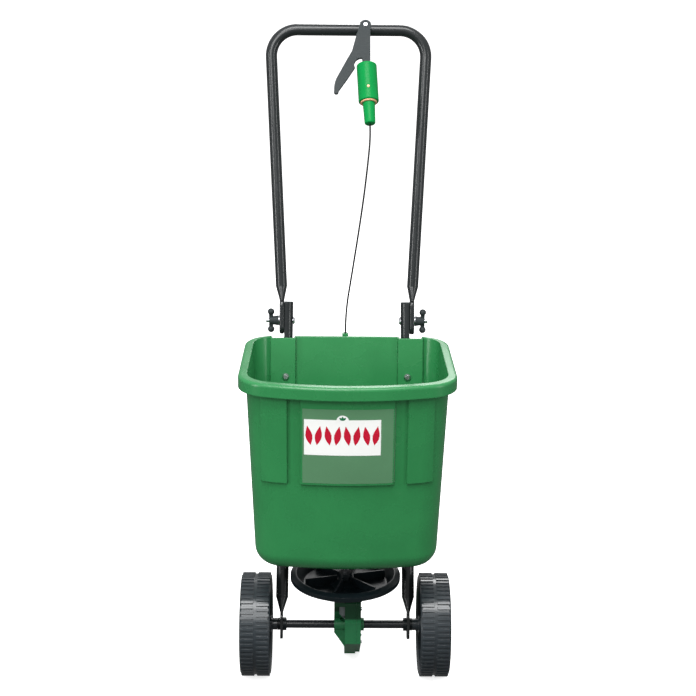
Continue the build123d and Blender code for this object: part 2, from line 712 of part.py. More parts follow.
screw_spots = [(-15.6, 141), (20, 141), (-19, 72), (21, 66), (86, 11)]
screw_r = 1.75
with BuildPart() as gear_housing:
    with BuildSketch(Plane.YZ):
        add(housing_outline(0.0))
    extrude(amount=split_x)
    with BuildSketch(Plane.XY.offset(plate_z)):
        with Locations((left_boss_x / 2, axle_y)):
            Rectangle(-left_boss_x, 40)
    extrude(amount=plate_t)
    with Locations((left_boss_x / 2, axle_y + 17, 124)):
        Box(-left_boss_x, 6, 48)
    add(ring_about_x(left_boss_x, 2.0, collar_r, axle_r + run_gap))
    # ribbed gusset from the left boss down to the leg
    for rib_y in (-10.0, -3.5, 3.5, 10.0):
        with BuildSketch(Plane.XZ.offset(-axle_y - rib_y - 1.25)):
            with BuildLine():
                Polyline((left_boss_x, 92), (left_boss_x, 88), (0, 56), (1, 56), (1, 92), close=True)
            make_face()
        extrude(amount=2.5)
    # room for the drive gear, open to the right, and for the pinion above it
    add(ring_about_x(2.5, split_x + 1, gear_room), mode=Mode.SUBTRACT)
    with Locations((0, axle_y, 108.5)):
        Cylinder(9.6, 14.5, align=(Align.CENTER, Align.CENTER, Align.MIN), mode=Mode.SUBTRACT)
    with Locations((0, axle_y, 122.2)):
        Cylinder(pinion_hub_r + 1, plate_z - 122.2,
                 align=(Align.CENTER, Align.CENTER, Align.MIN), mode=Mode.SUBTRACT)
    with Locations((0, axle_y, plate_z + plate_t / 2)):
        Cylinder(shaft_r + run_gap, plate_t + 2, mode=Mode.SUBTRACT)
    add(ring_about_x(left_boss_x - 1, 3, axle_r + run_gap), mode=Mode.SUBTRACT)
    # the leg is moulded hollow behind the cover
    with BuildSketch(Plane.YZ.offset(split_x)):
        with BuildLine():
            Polyline(
                (axle_y + 6, 56), (axle_y + 70, 8), (axle_y + 76, 8), (axle_y + 76, 22),
                (axle_y + 26, 56), close=True,
            )
        make_face()
    extrude(amount=-(split_x - 4), mode=Mode.SUBTRACT)
    for y, z in screw_spots:
        with Locations((split_x, axle_y + y, z)):
            Cylinder(screw_r, 24, rotation=(0, 90, 0), mode=Mode.SUBTRACT)
save(gear_housing, "gear_housing")

with BuildPart() as housing_cover:
    with BuildSketch(Plane.YZ.offset(split_x + 0.2)):
        add(housing_outline(4.0))
    extrude(amount=cover_x - split_x - 0.2)
    add(ring_about_x(cover_x - 1, collar_x, collar_r, axle_r + run_gap))
    add(ring_about_x(split_x, collar_x + 1, axle_r + run_gap), mode=Mode.SUBTRACT)
    for y, z in screw_spots:
        with Locations((cover_x, axle_y + y, z)):
            Cylinder(screw_r + 0.15, 40, rotation=(0, 90, 0), mode=Mode.SUBTRACT)
save(housing_cover, "gear_housing_cover")

with BuildPart() as housing_screws:
    for y, z in screw_spots:
        with BuildSketch(Plane.YZ.offset(split_x - 10)):
            with Locations((axle_y + y, z)):
                Circle(screw_r)
        extrude(amount=cover_x - split_x + 10.2)
        with BuildSketch(Plane.YZ.offset(cover_x + 0.1)):
            with Locations((axle_y + y, z)):
                Circle(3.6)
        extrude(amount=2.2, taper=20)
save(housing_screws, "housing_screws")

# ---------------------------------------------------------------- impeller and its shaft
impeller_r = impeller_d / 2
lip_z = 212.0
shaft_top = 263.0
hub_low = 174.0
fins = 6
fin_mid_r = 48.0
fin_long = 63.0
fin_t = 2.6
fin_high = 18.0
with BuildPart() as impeller_shaft:
    with Locations((0, axle_y, 112)):
        Cylinder(pinion_bore, 40, align=(Align.CENTER, Align.CENTER, Align.MIN))
    with Locations((0, axle_y, journal_z - 0.6)):
        Cylinder(shaft_r, shaft_top - journal_z + 0.6,
                 align=(Align.CENTER, Align.CENTER, Align.MIN))
save(impeller_shaft, "impeller_shaft")

with BuildPart() as impeller:
    with BuildSketch(Plane.XZ):
        with BuildLine():
            Polyline(
                (shaft_r, hub_low), (14, hub_low), (16, 186), (83, 187.5), (96.5, lip_z - 2.6),
                (impeller_r - 2.4, lip_z - 6), (impeller_r - 2.4, lip_z - 12),
                (impeller_r, lip_z - 12), (impeller_r, lip_z - 4), (96, lip_z), (94.5, lip_z),
                (81, 190.5),
                (30, 189), (14, 200), (12, lip_z), (shaft_r, lip_z), close=True,
            )
        make_face()
    revolve(axis=Axis.Z)
    with PolarLocations(fin_mid_r, fins, start_angle=15):
        with Locations((0, 0, 198)):
            Box(fin_long, fin_t, fin_high)
with BuildPart() as placed_impeller:
    add(Location((0, axle_y, 0)) * impeller.part)
    with Locations((0, axle_y, 180)):
        Cylinder(1.7, 40, rotation=(90, 0, 0), mode=Mode.SUBTRACT)
save(placed_impeller, "impeller")

with BuildPart() as impeller_pin:
    for y in (-9.5, 9.5):
        with Locations((0, axle_y + y, 180)):
            Cylinder(1.6, 10.5, rotation=(90, 0, 0))
save(impeller_pin, "impeller_set_screws")

with BuildPart() as agitator:
    with Locations((0, axle_y, 250)):
        Cylinder(7.5, 12, align=(Align.CENTER, Align.CENTER, Align.MIN))
    with Locations((0, axle_y, 257)):
        Cylinder(2.0, 44, rotation=(0, 90, 0))
    with Locations((-20, axle_y, 257), (20, axle_y, 257)):
        Cylinder(2.0, 22, align=(Align.CENTER, Align.CENTER, Align.MIN))
    with Locations((0, axle_y, 256)):
        Cylinder(shaft_r, 14, mode=Mode.SUBTRACT)
save(agitator, "agitator")

# ---------------------------------------------------------------- outlet and its shutter
plate_low = neck_z - 3.0
shutter_t = 3.0
shutter_low = plate_low - shutter_t - 0.3
shutter_half = 22.0
wire_z = shutter_low + shutter_t / 2
stop_y = 104.0           # where the cable's sleeve is held, behind the axle
with BuildPart() as outlet_plate:
    with BuildSketch(Plane.XY.offset(plate_low)):
        with Locations((0, axle_y)):
            RectangleRounded(2 * neck_half + 8, 2 * neck_half + 8, 8)
        with Locations((0, axle_y + 66)):
            Rectangle(14, 2 * (stop_y - 66))
        with Locations((0, axle_y)):
            Circle(shaft_r + run_gap, mode=Mode.SUBTRACT)
        with Locations((0, axle_y + 17)):
            RectangleRounded(28, 16, 3, mode=Mode.SUBTRACT)
    extrude(amount=neck_z - plate_low)
    for side in (-1, 1):
        with Locations((side * (shutter_half + 2.8), axle_y + 22, plate_low - 3.2)):
            Box(5, 44, 6.6)
        with Locations((side * (shutter_half + 1.8), axle_y + 22, shutter_low - 1.4)):
            Box(7, 44, 2.2)
    with Locations((0, axle_y + stop_y - 2, plate_low - 4)):
        Box(14, 4, 14)
    with Locations((0, axle_y + stop_y, wire_z)):
        Cylinder(1.0, 20, rotation=(90, 0, 0), mode=Mode.SUBTRACT)
save(outlet_plate, "outlet_plate")

with BuildPart() as shutter_plate:
    with BuildSketch(Plane.XY.offset(shutter_low)):
        with Locations((0, axle_y + 27)):
            RectangleRounded(2 * shutter_half - 0.6, 42, 3)
        with Locations((0, axle_y + 52)):
            Rectangle(12, 12)
    extrude(amount=shutter_t)
    with Locations((0, axle_y + 55, wire_z - 1)):
        Cylinder(2.5, 6, rotation=(0, 90, 0))
save(shutter_plate, "shutter_plate")

# ---------------------------------------------------------------- hand lever and adjuster
bracket_z = 11.3         # the bracket's back, in front of the bar's centre line
bracket_t = 4.0
lever_z = bracket_z + bracket_t + 0.4
lever_t = 5.4
barrel_r = 19.2
barrel_wall = 3.2
barrel_from = 83.0       # down from the rivet, along the barrel
barrel_to = 161.0
barrel_side = -2.3       # the barrel's line passes this far beside the rivet
nozzle_r = 11.8
nozzle_to = 206.5
stem_r = 5.0
stem_from = 81.6
lever_plane = rivet_axis_plane
barrel_top = lever_plane.from_local_coords(Vector(barrel_side, 0, bracket_z + bracket_t / 2))
barrel_lean = radians(3.0)
barrel_dir = (
    lever_plane.x_dir * sin(barrel_lean) - lever_plane.y_dir * cos(barrel_lean)
)
barrel_plane = Plane(origin=barrel_top, x_dir=lever_plane.z_dir, z_dir=barrel_dir)

with BuildPart() as lever_bracket:
    with BuildSketch(lever_plane.offset(bracket_z)):
        Circle(10)
        with BuildLine():
            Polyline((-9, 0), (9, 0), (8.5, -20), (8.5, -72), (5.5, -77), (5.5, -86), (-1.0, -86),
                     (-1.0, -77), (-8, -64), close=True)
        make_face()
    extrude(amount=bracket_t)
    with BuildSketch(lever_plane.offset(2)):
        Rectangle(20, 24)
    extrude(amount=bracket_z - 2)
    with BuildSketch(barrel_plane.offset(stem_from)):
        Circle(stem_r)
    extrude(amount=barrel_to - 14 - stem_from)
    with BuildSketch(Plane(origin=bar_centre, z_dir=(1, 0, 0))):
        Circle(tube_r + 0.05)
    extrude(amount=80, mode=Mode.SUBTRACT)
    with BuildSketch(lever_plane):
        Circle(rivet_r + run_gap)
    extrude(amount=2 * beyond, both=True, mode=Mode.SUBTRACT)
save(lever_bracket, "lever_bracket")

with BuildPart() as control_lever:
    with BuildSketch(lever_plane.offset(lever_z)):
        Circle(10.8)
        with BuildLine():
            Polyline((-10.8, 0), (-17, -20), (-25.7, -56), (-36, -76), (-54.5, -113.5))
            ThreePointArc((-54.5, -113.5), (-58.6, -127), (-59.3, -141))
            ThreePointArc((-59.3, -141), (-57.4, -146.5), (-51, -141.5))
            Polyline((-51, -141.5), (-33, -113.5), (-20, -91.5))
            ThreePointArc((-20, -91.5), (-18.3, -76.5), (-7, -71))
            Polyline((-7, -71), (-5, -79.5), (9.2, -79.5), (9.2, -10), (10.8, 0), (-10.8, 0))
        make_face()
        Circle(rivet_r + hole_gap, mode=Mode.SUBTRACT)
    extrude(amount=lever_t)
save(control_lever, "control_lever")

with BuildPart() as lever_rivet:
    with BuildSketch(lever_plane.offset(-tube_r - 2)):
        Circle(rivet_r)
    extrude(amount=tube_r + 2 + lever_z + lever_t + 0.3)
    with BuildSketch(lever_plane.offset(lever_z + lever_t + 0.2)):
        Circle(5.2)
    extrude(amount=2.4, taper=35)
    with BuildSketch(lever_plane.offset(-tube_r - 2)):
        Circle(5.0)
    extrude(amount=1.7)
save(lever_rivet, "lever_rivet")

with BuildPart() as adjuster_barrel:
    with BuildSketch(barrel_plane.offset(barrel_from)):
        Circle(barrel_r)
    extrude(amount=barrel_to - barrel_from)
    fillet(adjuster_barrel.edges().filter_by(GeomType.CIRCLE), 2.4)
    with BuildSketch(barrel_plane.offset(barrel_from + 4)):
        Circle(barrel_r - barrel_wall)
    extrude(amount=barrel_to - barrel_from, mode=Mode.SUBTRACT)
    with BuildSketch(barrel_plane.offset(barrel_from - 1)):
        Circle(stem_r + run_gap)
    extrude(amount=10, mode=Mode.SUBTRACT)
save(adjuster_barrel, "adjuster_barrel")

with BuildPart() as adjuster_ring:
    with BuildSketch(barrel_plane.offset(barrel_to - 14)):
        Circle(barrel_r - barrel_wall - 0.3)
    extrude(amount=13)
    with BuildSketch(barrel_plane.offset(barrel_to - 20)):
        Circle(1.7)
    extrude(amount=40, mode=Mode.SUBTRACT)
save(adjuster_ring, "adjuster_ring")

with BuildPart() as adjuster_nozzle:
    with BuildSketch(barrel_plane.offset(barrel_to - 1)):
        Circle(nozzle_r)
    extrude(amount=nozzle_to - barrel_to + 1, taper=1.9)
    fillet(adjuster_nozzle.edges().filter_by(GeomType.CIRCLE).sort_by(Axis.Z)[0], 3.0)
    with BuildSketch(barrel_plane.offset(barrel_to - 2)):
        Circle(1.7)
    extrude(amount=80, mode=Mode.SUBTRACT)
save(adjuster_nozzle, "adjuster_nozzle")

with BuildPart() as adjuster_pin:
    window = Plane(
        origin=barrel_plane.from_local_coords(Vector(barrel_r + 0.05, 0, 137.0)),
        z_dir=barrel_plane.x_dir,
    )
    with BuildSketch(window):
        Circle(2.8)
    extrude(amount=1.4, taper=15)
save(adjuster_pin, "adjuster_pin")

# ---------------------------------------------------------------- cable and its guide
cable_r = 1.5
guide_y = axle_y + rim_back + 5.5
guide_x = -3.0
cable_tip = barrel_plane.from_local_coords(Vector(0, 0, nozzle_to - 12))
cable_below = barrel_plane.from_local_coords(Vector(0, 0, nozzle_to + 22))
route = [
    cable_tip, cable_below, Vector(36.5, axle_y + 137, 985), Vector(29.5, axle_y + 134, 920),
    Vector(19.5, axle_y + 137, 845), Vector(8, axle_y + 143, 765), Vector(-1.5, axle_y + 150, 700),
    Vector(guide_x, guide_y, 640), Vector(-1, guide_y + 6, 570), Vector(0, guide_y + 10, 495),
    Vector(0, guide_y + 9, 420), Vector(0, guide_y + 2, 345), Vector(0, guide_y - 12, 285),
    Vector(0, axle_y + stop_y + 32, wire_z), Vector(0, axle_y + stop_y + 0.2, wire_z),
]
radii = []
for before, corner, after in zip(route, route[1:], route[2:]):
    turn = radians((corner - before).get_angle(after - corner))
    shorter = min((corner - before).length, (after - corner).length)
    radii.append(0.45 * shorter / tan(turn / 2))
print("cable radii", [round(r) for r in radii])
with BuildPart() as control_cable:
    with BuildLine() as cable_line:
        FilletPolyline(*route, radius=radii)
    with BuildSketch(Plane(origin=cable_line.line @ 0, z_dir=cable_line.line % 0)):
        Circle(cable_r)
    sweep()
cable_length = sum(edge.length for edge in cable_line.line.edges())
print("cable length", round(cable_length, 1))
save(control_cable, "control_cable")

with BuildPart() as cable_guide:
    with BuildSketch(Plane.XY.offset(rim_z - 14)):
        with Locations((guide_x, guide_y)):
            RectangleRounded(12, 10.6, 2.5)
            Circle(cable_r + 1.2, mode=Mode.SUBTRACT)
    extrude(amount=17)
save(cable_guide, "cable_guide")
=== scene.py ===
"""Looks of the walk-behind garden spreader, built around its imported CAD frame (metres).

-Y is the front of the hopper, +X is to the right seen from the front, +Z is up.
"""

import json
import math

import bmesh
import bpy
from mathutils import Matrix, Vector
from mathutils.bvhtree import BVHTree


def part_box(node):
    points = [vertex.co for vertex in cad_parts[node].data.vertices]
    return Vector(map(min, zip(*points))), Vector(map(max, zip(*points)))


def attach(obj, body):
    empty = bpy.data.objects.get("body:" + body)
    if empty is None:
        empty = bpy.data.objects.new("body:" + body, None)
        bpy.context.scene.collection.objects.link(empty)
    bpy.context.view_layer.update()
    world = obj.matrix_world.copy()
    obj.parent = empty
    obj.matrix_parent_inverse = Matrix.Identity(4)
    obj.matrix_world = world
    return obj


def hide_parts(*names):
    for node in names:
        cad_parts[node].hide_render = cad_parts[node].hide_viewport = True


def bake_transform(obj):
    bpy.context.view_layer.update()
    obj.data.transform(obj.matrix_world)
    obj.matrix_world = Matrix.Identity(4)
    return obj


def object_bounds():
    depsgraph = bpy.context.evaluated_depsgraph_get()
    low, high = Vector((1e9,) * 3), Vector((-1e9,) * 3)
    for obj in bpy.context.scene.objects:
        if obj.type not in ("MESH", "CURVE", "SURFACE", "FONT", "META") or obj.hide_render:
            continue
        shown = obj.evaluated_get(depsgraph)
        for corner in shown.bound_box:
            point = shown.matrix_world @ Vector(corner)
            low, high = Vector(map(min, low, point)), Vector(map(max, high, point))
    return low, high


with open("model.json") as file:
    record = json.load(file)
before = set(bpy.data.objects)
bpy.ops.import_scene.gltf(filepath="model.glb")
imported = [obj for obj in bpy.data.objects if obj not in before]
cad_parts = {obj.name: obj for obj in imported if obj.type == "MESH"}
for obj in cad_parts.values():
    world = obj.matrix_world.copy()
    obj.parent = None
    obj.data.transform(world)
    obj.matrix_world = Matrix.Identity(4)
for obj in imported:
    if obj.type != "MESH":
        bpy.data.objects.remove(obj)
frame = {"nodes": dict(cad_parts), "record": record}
cad_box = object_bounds()
MM = 0.001
joint_at = {joint["name"]: joint for joint in frame["record"]["behaviour"]["joints"]}
AXLE_Y = joint_at["axle_spin"]["pos_m"][1]

# ---------------------------------------------------------------- camera, lights and floor
IMAGE_SIDE = 696
FOCAL_PIXELS = 1580.0
SENSOR = 36 * MM
CAMERA_X = -0.0299
CAMERA_BACK = 2.7841      # in front of the axle
CAMERA_HEIGHT = 1.5438
CAMERA_PITCH = math.radians(17.5)
CAMERA_YAW = math.radians(-0.636)
CAMERA_ROLL = math.radians(0.55)
WHITE = (1.0, 1.0, 1.0, 1.0)
FLOOR_HALF = 30.0
FLOOR_GREY = (0.86, 0.86, 0.86)
FLOOR_ROUGH = 0.9
FLOOR_GLOW = 0.75
SURROUND_LOW = 0.18       # the surround's strength below eye level
SURROUND_HIGH = 0.8       # and straight above
LIGHTS = (                # name, place, what it faces, width, height, watts
    ("overhead", (-0.15, AXLE_Y - 1.8, 4.6), (0.0, AXLE_Y, 0.1), 2.8, 1.6, 150),
    ("fill", (-0.9, -2.6, 2.8), (0.0, 0.0, 0.55), 1.6, 1.2, 44),
    ("left_strip", (-2.4, -1.5, 1.2), (0.0, 0.0, 0.55), 0.35, 2.2, 30),
    ("right_strip", (2.4, -1.5, 1.2), (0.0, 0.0, 0.55), 0.35, 2.2, 20),
    ("back", (0.6, 2.6, 2.2), (0.0, 0.0, 0.55), 1.6, 1.0, 34),
)


def add_camera():
    """The camera in front of the spreader, a little above its handle, looking down on it."""
    camera_data = bpy.data.cameras.new("camera")
    camera_data.sensor_width = SENSOR / MM
    camera_data.lens = SENSOR / MM * FOCAL_PIXELS / IMAGE_SIDE
    camera_data.dof.use_dof = False
    camera = bpy.data.objects.new("camera", camera_data)
    place = Matrix.Translation((CAMERA_X, AXLE_Y - CAMERA_BACK, CAMERA_HEIGHT))
    yaw = Matrix.Rotation(CAMERA_YAW, 4, "Z")
    pitch = Matrix.Rotation(math.radians(90) - CAMERA_PITCH, 4, "X")
    camera.matrix_world = place @ yaw @ pitch @ Matrix.Rotation(CAMERA_ROLL, 4, "Z")
    bpy.context.collection.objects.link(camera)
    bpy.context.scene.camera = camera


def add_softbox(name, at, aim, width, height, watts):
    """A rectangular soft light at one point, facing another."""
    light = bpy.data.lights.new(name, "AREA")
    light.shape = "RECTANGLE"
    light.size = width
    light.size_y = height
    light.energy = watts
    lamp = bpy.data.objects.new(name, light)
    facing = (Vector(aim) - Vector(at)).to_track_quat("-Z", "Y")
    lamp.matrix_world = Matrix.Translation(at) @ facing.to_matrix().to_4x4()
    bpy.context.collection.objects.link(lamp)


def add_world():
    """A studio's soft surround: bright above, dim at eye level and below."""
    world = bpy.data.worlds.new("studio")
    bpy.context.scene.world = world
    world.use_nodes = True
    tree = world.node_tree
    direction = add_node(tree, "ShaderNodeTexCoord", {}).outputs["Generated"]
    height = add_node(tree, "ShaderNodeSeparateXYZ", {"Vector": direction}).outputs["Z"]
    background = tree.nodes["Background"]
    background.inputs["Color"].default_value = WHITE
    strength = remap(tree, height, -0.3, 0.9, SURROUND_LOW, SURROUND_HIGH)
    tree.links.new(strength, background.inputs["Strength"])


def add_lights():
    """A softbox overhead, a fill above the camera, and strips at the sides and behind."""
    for light in LIGHTS:
        add_softbox(*light)
    bpy.context.scene.view_settings.view_transform = "Standard"


def add_floor():
    """A wide, flat, white floor. It gives the spreader no light of its own."""
    mesh = bpy.data.meshes.new("floor")
    build = bmesh.new()
    corners = ((-FLOOR_HALF, -FLOOR_HALF), (FLOOR_HALF, -FLOOR_HALF),
               (FLOOR_HALF, FLOOR_HALF), (-FLOOR_HALF, FLOOR_HALF))
    build.faces.new([build.verts.new((x, y, 0.0)) for x, y in corners])
    build.to_mesh(mesh)
    build.free()
    floor = bpy.data.objects.new("floor", mesh)
    bpy.context.collection.objects.link(floor)
    material = bpy.data.materials.new("floor_paper")
    material.use_nodes = True
    bsdf = material.node_tree.nodes["Principled BSDF"]
    bsdf.inputs["Base Color"].default_value = (*FLOOR_GREY, 1.0)
    bsdf.inputs["Roughness"].default_value = FLOOR_ROUGH
    bsdf.inputs["Emission Color"].default_value = WHITE
    bsdf.inputs["Emission Strength"].default_value = FLOOR_GLOW
    mesh.materials.append(material)
    floor.visible_diffuse = False
    floor.visible_glossy = False


# ---------------------------------------------------------------- material building blocks
def add_node(tree, kind, inputs, **settings):
    """A node with its settings, and its inputs given as numbers or as other nodes' outputs."""
    node = tree.nodes.new(kind)
    for name, value in settings.items():
        setattr(node, name, value)
    for name, value in inputs.items():
        if isinstance(value, bpy.types.NodeSocket):
            tree.links.new(value, node.inputs[name])
        else:
            node.inputs[name].default_value = value
    return node


def noise(tree, where, scale, detail=3.0, roughness=0.55):
    """Soft noise from 0 to 1."""
    return add_node(tree, "ShaderNodeTexNoise", {
        "Vector": where, "Scale": scale, "Detail": detail, "Roughness": roughness,
    }).outputs["Fac"]


def remap(tree, value, from_low, from_high, to_low, to_high):
    """A value's range stretched to another range, clamped."""
    return add_node(tree, "ShaderNodeMapRange", {
        "Value": value, "From Min": from_low, "From Max": from_high,
        "To Min": to_low, "To Max": to_high,
    }).outputs["Result"]


def multiply(tree, first, second):
    """The product of two values."""
    return add_node(tree, "ShaderNodeMath", {0: first, 1: second}, operation="MULTIPLY").outputs[0]


def mix_color(tree, share, first, second):
    """Two colours mixed by a share. The numbers are the colour sockets' places on the node."""
    node = add_node(tree, "ShaderNodeMix", {}, data_type="RGBA")
    for socket, value in ((0, share), (6, first), (7, second)):
        if isinstance(value, bpy.types.NodeSocket):
            tree.links.new(value, node.inputs[socket])
        else:
            node.inputs[socket].default_value = value
    return node.outputs[2]


def shade(color, factor):
    """A colour made darker or lighter, with its alpha."""
    return tuple(min(1.0, part * factor) for part in color) + (1.0,)


BROAD_SCALE = 11.0         # slow change of colour and gloss
WAVE_SCALE = 16.0
WEAR_SCALE = 90.0
WEAR_WIDTH = 2.2           # of the edge's radius
BEVEL_SAMPLES = 4
SCUFF_TURN = (0.4, 0.9, 0.3)
SCUFF_STRETCH = (30.0, 210.0, 60.0)
# painted shade above a height: how far it fades in, its share and how dark it is
SHADE_FADE = 4 * MM
SHADE_SHARE = 0.82
SHADE_DARK = 0.12


def bevel(tree, radius):
    """The surface's normal with its edges rounded."""
    return add_node(tree, "ShaderNodeBevel", {"Radius": radius}, samples=BEVEL_SAMPLES).outputs[0]


def add_scuffs(tree, where, paint, gloss, share, color):
    """Fine rubbed marks, paler and duller than the surface."""
    stretched = add_node(tree, "ShaderNodeMapping", {
        "Vector": where, "Rotation": SCUFF_TURN, "Scale": SCUFF_STRETCH,
    }).outputs["Vector"]
    marks = remap(tree, noise(tree, stretched, 1.0, 6.0, 0.65), 0.58, 0.72, 0.0, share)
    duller = add_node(tree, "ShaderNodeMath", {0: gloss, 1: multiply(tree, marks, 0.5)},
                      operation="ADD").outputs[0]
    return mix_color(tree, marks, paint, (*color, 1.0)), duller


def add_wear(tree, where, paint, edge, share, color):
    """Edges rubbed through in places."""
    facing = add_node(tree, "ShaderNodeNewGeometry", {}).outputs["Normal"]
    bend = add_node(tree, "ShaderNodeVectorMath", {0: facing, 1: bevel(tree, WEAR_WIDTH * edge)},
                    operation="DOT_PRODUCT").outputs["Value"]
    bare = multiply(tree, remap(tree, bend, 0.97, 0.86, 0.0, share),
                    remap(tree, noise(tree, where, WEAR_SCALE), 0.42, 0.6, 0.0, 1.0))
    return mix_color(tree, bare, paint, (*color, 1.0))


def add_painted_shade(tree, where, paint, color, dark_above):
    """Painted shade: the colour darkened above a height, where the impeller shades the housing."""
    level = add_node(tree, "ShaderNodeSeparateXYZ", {"Vector": where}).outputs["Z"]
    shaded_share = remap(tree, level, dark_above, dark_above + SHADE_FADE, 0.0, SHADE_SHARE)
    return mix_color(tree, shaded_share, paint, shade(color, SHADE_DARK))


def bump(tree, height, distance, strength, normal):
    """The normal roughened by a height."""
    return add_node(tree, "ShaderNodeBump", {
        "Height": height, "Distance": distance, "Strength": strength, "Normal": normal,
    }).outputs["Normal"]


def surface(name, color, rough, grain, depth, mottle=0.12, metallic=0.0, specular=0.5,
            wave=0.0, scuff=0.0, scuff_color=None, wear=0.0, wear_color=None, edge=0.6,
            dark_above=None):
    """A moulded, painted or plated surface.

    rough is the lowest and highest roughness, grain the fine texture's scale and depth its
    height in millimetres. mottle varies the colour, wave is the height in millimetres of slow
    waviness, scuff the share of fine rubbed marks, wear the share of edges rubbed through, and
    edge the edges' radius in millimetres. Above dark_above the colour is darkened as painted
    shade.
    """
    material = bpy.data.materials.new(name)
    material.use_nodes = True
    tree = material.node_tree
    bsdf = tree.nodes["Principled BSDF"]
    where = add_node(tree, "ShaderNodeTexCoord", {}).outputs["Object"]
    broad = noise(tree, where, BROAD_SCALE, 4.0)
    fine = noise(tree, where, grain, 3.0, 0.6)
    tint = remap(tree, broad, 0.3, 0.7, 0.0, 1.0)
    paint = mix_color(tree, tint, shade(color, 1.0 - mottle), shade(color, 1.0 + mottle))
    gloss = remap(tree, broad, 0.3, 0.7, *rough)
    if scuff:
        paint, gloss = add_scuffs(tree, where, paint, gloss, scuff, scuff_color)
    if wear:
        paint = add_wear(tree, where, paint, edge * MM, wear, wear_color)
    # painted shade: the colour darkened above dark_above
    if dark_above:
        paint = add_painted_shade(tree, where, paint, color, dark_above)
    normal = bump(tree, fine, depth * MM, 0.6, bevel(tree, edge * MM))
    if wave:
        normal = bump(tree, noise(tree, where, WAVE_SCALE, 1.0), wave * MM, 0.7, normal)
    tree.links.new(paint, bsdf.inputs["Base Color"])
    tree.links.new(gloss, bsdf.inputs["Roughness"])
    tree.links.new(normal, bsdf.inputs["Normal"])
    bsdf.inputs["Metallic"].default_value = metallic
    bsdf.inputs["Specular IOR Level"].default_value = specular
    return material


def make_materials():
    """One material for each of the record's slots, and for the sticker's inks and film."""
    return {
        "hopper_green": surface(
            "hopper_green", (0.024, 0.205, 0.062), (0.22, 0.32), 900, 0.04, mottle=0.06,
            wave=0.9, specular=0.45, scuff=0.05, scuff_color=(0.09, 0.30, 0.13), edge=2.6),
        # the housing carries painted shade above 118 mm, under the impeller
        "housing_green": surface(
            "housing_green", (0.02, 0.16, 0.06), (0.34, 0.46), 900, 0.06, mottle=0.12,
            wave=0.5, specular=0.35, scuff=0.12, scuff_color=(0.10, 0.26, 0.14),
            edge=0.9, dark_above=0.118),
        "adjuster_green": surface(
            "adjuster_green", (0.003, 0.235, 0.05), (0.24, 0.34), 1500, 0.03, mottle=0.06,
            wave=0.3, specular=0.1, scuff=0.06, scuff_color=(0.1, 0.5, 0.2), edge=0.7),
        "adjuster_tan": surface(
            "adjuster_tan", (0.83, 0.47, 0.27), (0.35, 0.45), 1500, 0.03, mottle=0.05, edge=0.4),
        "lever_black": surface(
            "lever_black", (0.028, 0.035, 0.037), (0.4, 0.55), 1400, 0.05, mottle=0.18, wave=0.4,
            specular=0.16, scuff=0.25, scuff_color=(0.10, 0.11, 0.11), edge=0.8),
        "frame_black": surface(
            "frame_black", (0.012, 0.015, 0.016), (0.2, 0.3), 1100, 0.03, mottle=0.12,
            scuff=0.10, scuff_color=(0.05, 0.055, 0.055),
            wear=0.4, wear_color=(0.12, 0.12, 0.12)),
        "axle_black": surface(
            "axle_black", (0.012, 0.015, 0.018), (0.22, 0.34), 1100, 0.04, mottle=0.2,
            scuff=0.2, scuff_color=(0.06, 0.065, 0.07)),
        "wheel_black": surface(
            "wheel_black", (0.024, 0.031, 0.036), (0.12, 0.24), 800, 0.03, mottle=0.15,
            scuff=0.25, scuff_color=(0.07, 0.075, 0.08), wear=0.3, wear_color=(0.10, 0.10, 0.10)),
        "impeller_black": surface(
            "impeller_black", (0.003, 0.007, 0.009), (0.34, 0.46), 1000, 0.04, mottle=0.2,
            specular=0.28, scuff=0.12, scuff_color=(0.02, 0.026, 0.03)),
        "gear_nylon": surface(
            "gear_nylon", (0.13, 0.15, 0.15), (0.4, 0.5), 1200, 0.03, mottle=0.08),
        "zinc_steel": surface(
            "zinc_steel", (0.56, 0.57, 0.6), (0.2, 0.36), 1300, 0.04, mottle=0.15, metallic=1.0,
            scuff=0.3, scuff_color=(0.3, 0.3, 0.31), edge=0.4),
        "cable_black": surface(
            "cable_black", (0.006, 0.006, 0.007), (0.42, 0.55), 1800, 0.03, mottle=0.15,
            specular=0.25, edge=0.1),
        "label_white": surface(
            "label_white", (0.9, 0.91, 0.89), (0.22, 0.3), 500, 0.02, mottle=0.03, edge=0.1),
        "label_red": surface(
            "label_red", (0.52, 0.006, 0.03), (0.22, 0.3), 500, 0.02, mottle=0.05, edge=0.1),
        "label_green": surface(
            "label_green", (0.01, 0.16, 0.06), (0.22, 0.3), 500, 0.02, mottle=0.05, edge=0.1),
        "label_film": surface(
            "label_film", (0.088, 0.225, 0.112), (0.42, 0.5), 700, 0.04, mottle=0.06, edge=0.1,
            scuff=0.12, scuff_color=(0.16, 0.33, 0.19)),
    }


def dress_frame(materials):
    """Each CAD node takes the material of its slot."""
    for part in frame["record"]["subparts"]:
        node = frame["nodes"][part["node"]]
        node.data.materials.clear()
        node.data.materials.append(materials[part["material_slot"]])


# ---------------------------------------------------------------- pieces on the hopper's front
LABEL_LOW, LABEL_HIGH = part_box("front_label")
LABEL_MID_X = (LABEL_LOW[0] + LABEL_HIGH[0]) / 2
SKIN_STEP = 6 * MM         # longest edge of a thin piece that follows the hopper's front
MAX_SPLITS = 8             # rounds of splitting its long edges
RAY_LEAD = 100 * MM        # rays to the hopper's front start this far ahead of everything
FILM_LIFT = 0.05 * MM      # heights above the hopper, and thicknesses
FILM_THICK = 0.25 * MM
STICKER_LIFT = 0.3 * MM
STICKER_THICK = 0.3 * MM
PRINT_LIFT = 0.6 * MM
PRINT_THICK = 0.08 * MM
FILM_LEFT = 3 * MM         # the backing panel's edges, past the sticker's
FILM_RIGHT = 26 * MM
FILM_BELOW = 56 * MM
FILM_ABOVE = 20 * MM
TAB_HALF = 11 * MM
TAB_HIGH = 10 * MM
TAB_LAP = 1 * MM           # the tab starts this far below the sticker's top edge
